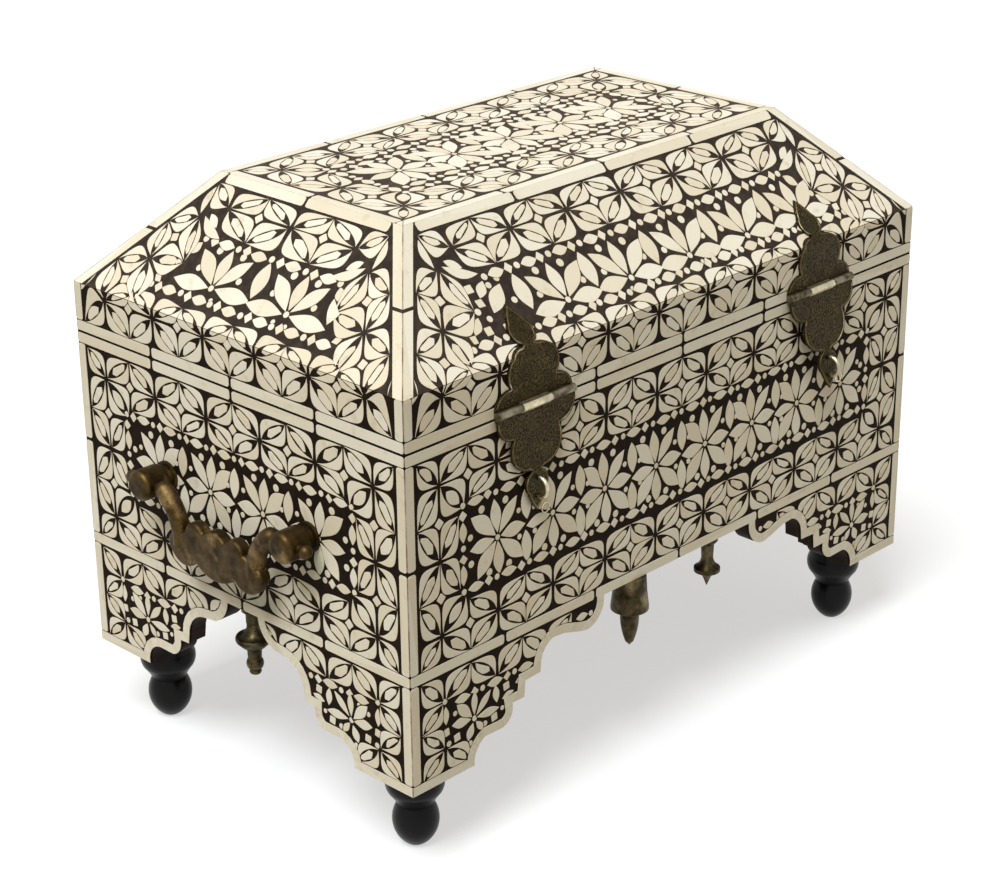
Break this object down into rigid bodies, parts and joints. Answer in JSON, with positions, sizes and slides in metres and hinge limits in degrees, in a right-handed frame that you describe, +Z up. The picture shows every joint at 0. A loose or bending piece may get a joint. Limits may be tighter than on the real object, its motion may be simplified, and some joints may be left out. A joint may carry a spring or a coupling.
{
  "type": "inlaid dowry chest",
  "caption": "Hipped-lid wooden dowry chest with bone floral inlay, scalloped skirts, turned feet, brass hasps, pendants and swinging end handles.",
  "frame": {"origin": "the middle of the whole chest's box, at the floor", "axes": "+X along the chest to its right end, -Y out of the front with the hasps, +Z up"},
  "size_m": [0.7288, 0.4473, 0.5214],
  "materials": {
    "carcass_wood": "oiled",
    "inlay_ground": "dark lac filling, rubbed",
    "bone": "polished bone",
    "ebonised_wood": "black lacquered",
    "cast_brass": "aged, handled",
    "hasp_brass": "dark patina, chased",
    "hinge_brass": "aged"
  },
  "bodies": {
    "base": {"back_board": "carcass_wood", "back_ground": "inlay_ground", "back_pendants": "cast_brass", "back_strips": "bone", "bracket_back_left": "carcass_wood", "bracket_back_right": "carcass_wood", "bracket_front_left": "carcass_wood", "bracket_front_right": "carcass_wood", "corner_blocks": "carcass_wood", "floor_board": "carcass_wood", "foot_back_left": "ebonised_wood", "foot_back_right": "ebonised_wood", "foot_front_left": "ebonised_wood", "foot_front_right": "ebonised_wood", "front_board": "carcass_wood", "front_ground": "inlay_ground", "front_left_pendant": "cast_brass", "front_right_pendant": "cast_brass", "front_strips": "bone", "hasp_eyelets": "hasp_brass", "hinge_pins": "hinge_brass", "left_board": "carcass_wood", "left_end_pendant": "cast_brass", "left_ground": "inlay_ground", "left_handle_posts": "cast_brass", "left_hinge_case_leaf": "hinge_brass", "left_strips": "bone", "right_board": "carcass_wood", "right_end_pendant": "cast_brass", "right_ground": "inlay_ground", "right_handle_posts": "cast_brass", "right_hinge_case_leaf": "hinge_brass", "right_strips": "bone"},
    "lid": {"hasp_pins": "hasp_brass", "left_hasp_upper_leaf": "hasp_brass", "left_hinge_lid_leaf": "hinge_brass", "lid_back_ground": "inlay_ground", "lid_back_slope": "carcass_wood", "lid_back_strips": "bone", "lid_front_ground": "inlay_ground", "lid_front_slope": "carcass_wood", "lid_front_strips": "bone", "lid_left_ground": "inlay_ground", "lid_left_slope": "carcass_wood", "lid_left_strips": "bone", "lid_rails": "carcass_wood", "lid_right_ground": "inlay_ground", "lid_right_slope": "carcass_wood", "lid_right_strips": "bone", "lid_top_board": "carcass_wood", "lid_top_ground": "inlay_ground", "lid_top_strips": "bone", "right_hasp_upper_leaf": "hasp_brass", "right_hinge_lid_leaf": "hinge_brass"},
    "hasp_left": {"left_hasp_lower_leaf": "hasp_brass"},
    "hasp_right": {"right_hasp_lower_leaf": "hasp_brass"},
    "handle_left": {"left_handle_bail": "cast_brass"},
    "handle_right": {"right_handle_bail": "cast_brass"}
  },
  "joints": [
    {"name": "lid_hinge", "type": "hinge", "parent": "base", "child": "lid", "pos_m": [0, 0.22055, 0.379], "axis": [-1, 0, 0], "range_deg": [0, 105]},
    {"name": "left_hasp_swing", "type": "hinge", "parent": "lid", "child": "hasp_left", "pos_m": [-0.187, -0.19795, 0.3826], "axis": [-1, 0, 0], "range_deg": [0, 180]},
    {"name": "right_hasp_swing", "type": "hinge", "parent": "lid", "child": "hasp_right", "pos_m": [0.187, -0.19795, 0.3826], "axis": [-1, 0, 0], "range_deg": [0, 171]},
    {"name": "left_handle_swing", "type": "hinge", "parent": "base", "child": "handle_left", "pos_m": [-0.3524, 0.01135, 0.275], "axis": [0, 1, 0], "range_deg": [-13, 193]},
    {"name": "right_handle_swing", "type": "hinge", "parent": "base", "child": "handle_right", "pos_m": [0.3524, 0.01135, 0.275], "axis": [0, -1, 0], "range_deg": [-13, 193]}
  ]
}
